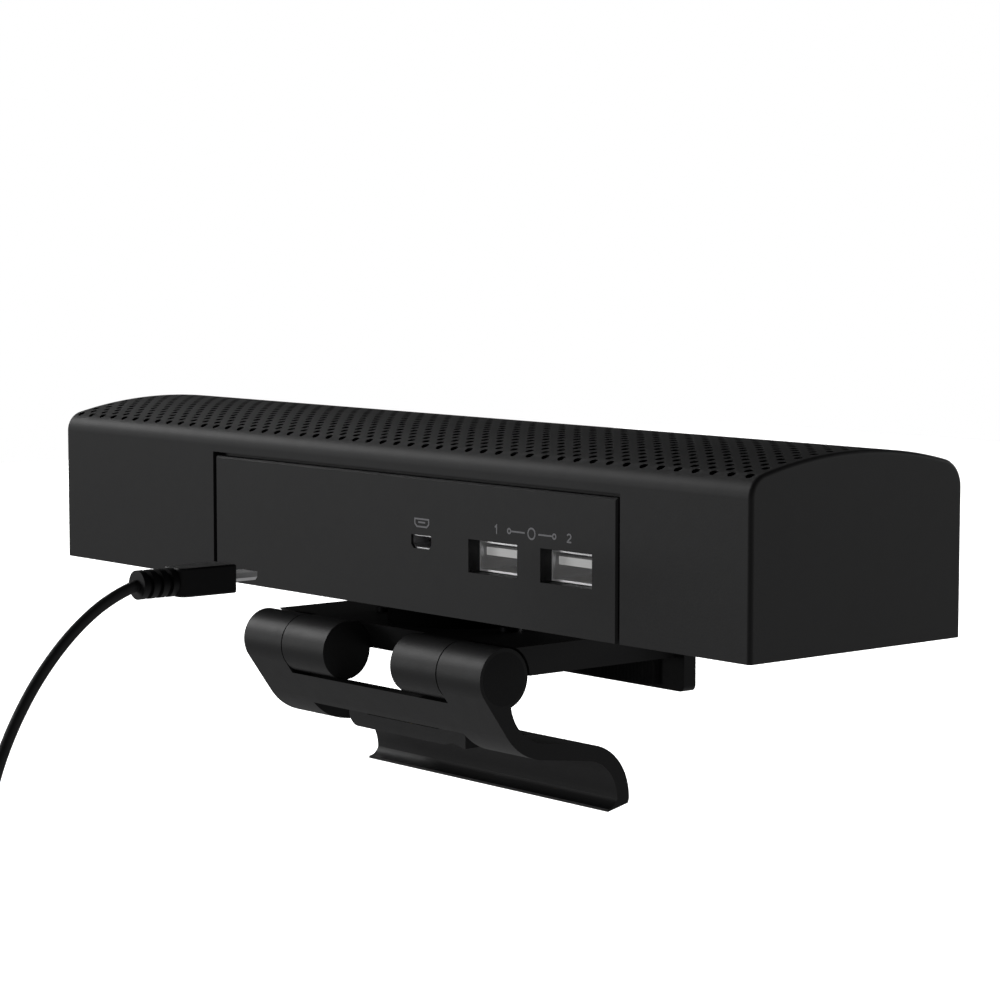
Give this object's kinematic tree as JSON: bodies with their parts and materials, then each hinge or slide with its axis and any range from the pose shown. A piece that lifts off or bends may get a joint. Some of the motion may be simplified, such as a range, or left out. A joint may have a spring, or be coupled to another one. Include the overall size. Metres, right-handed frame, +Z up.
{
  "type": "monitor-top camera and speaker bar",
  "caption": "Slim bar with a perforated domed top, camera, light windows, speakers and a rear hub, on a folding clamp that hooks over a monitor, with a plug and coiled cord.",
  "frame": {"origin": "the clamp pad's resting face, over the middle of the monitor's top edge", "axes": "+X along the bar, +Y out of the rear hub panel, +Z up"},
  "size_m": [0.205, 0.1544, 0.1934],
  "materials": {
    "clamp_shell": "satin, fine grain",
    "pad_rubber": "matte",
    "steel": "satin",
    "brass": "satin",
    "bar_shell": "matte, fine grain",
    "front_gloss": "gloss",
    "port_plastic": "satin",
    "board": "satin",
    "lens": "gloss",
    "diffuser": "frosted",
    "speaker_black": "matte",
    "speaker_paper": "matte",
    "magnet": "matte",
    "plug_black": "matte",
    "cord_black": "satin"
  },
  "bodies": {
    "clamp": {"clamp_plate": "clamp_shell", "plate_pad": "pad_rubber", "front_lip": "clamp_shell", "lip_pad": "pad_rubber", "plate_screws": "steel"},
    "leg": {"clamp_leg": "clamp_shell", "leg_cap_left": "clamp_shell", "leg_cap_right": "clamp_shell", "hinge_pin_left": "steel", "hinge_pin_right": "steel", "foot_pad": "pad_rubber", "tripod_block": "clamp_shell", "thread_insert": "brass"},
    "bar": {"housing": "bar_shell", "bottom_cover": "bar_shell", "cover_screws": "steel", "rear_panel": "bar_shell", "usb_shell_1": "steel", "usb_shell_2": "steel", "usb_tongue_1": "port_plastic", "usb_tongue_2": "port_plastic", "micro_usb_shell": "steel", "micro_usb_tongue": "port_plastic", "hub_board": "board", "hub_posts": "bar_shell", "input_board": "board", "main_board": "board", "front_panel": "front_gloss", "lens_ring": "front_gloss", "lens_barrel": "front_gloss", "lens_glass": "lens", "camera_board": "board", "light_window_left": "diffuser", "light_window_right": "diffuser", "light_board_left": "board", "light_board_right": "board", "status_light": "diffuser", "speaker_baffle_left": "speaker_black", "speaker_baffle_right": "speaker_black", "speaker_frame_left": "steel", "speaker_frame_right": "steel", "speaker_cone_left": "speaker_paper", "speaker_cone_right": "speaker_paper", "speaker_magnet_left": "magnet", "speaker_magnet_right": "magnet", "swivel_hub": "clamp_shell", "swivel_washer": "steel", "swivel_screw": "steel"},
    "privacy_cover": {"shutter": "bar_shell"},
    "cable": {"plug_body": "plug_black", "plug_shell": "steel", "strain_relief": "plug_black", "cord": "cord_black", "cord_coil": "cord_black", "cable_tie": "plug_black", "usb_plug_body": "plug_black", "usb_plug_shell": "steel"}
  },
  "joints": [
    {"name": "leg_fold", "type": "hinge", "parent": "clamp", "child": "leg", "pos_m": [0, 0.035, 0.0004], "axis": [1, 0, 0], "range_deg": [-28, 110]},
    {"name": "bar_pan", "type": "hinge", "parent": "clamp", "child": "bar", "pos_m": [0, 0.01405, 0.005], "axis": [0, 0, 1], "range_deg": [-30, 30]},
    {"name": "cover_slide", "type": "slide", "parent": "bar", "child": "privacy_cover", "axis": [-1, 0, 0], "range_m": [0, 0.017]},
    {"name": "plug_in", "type": "slide", "parent": "bar", "child": "cable", "axis": [0, -0.997, 0.0769], "range_m": [0, 0.04202]}
  ]
}
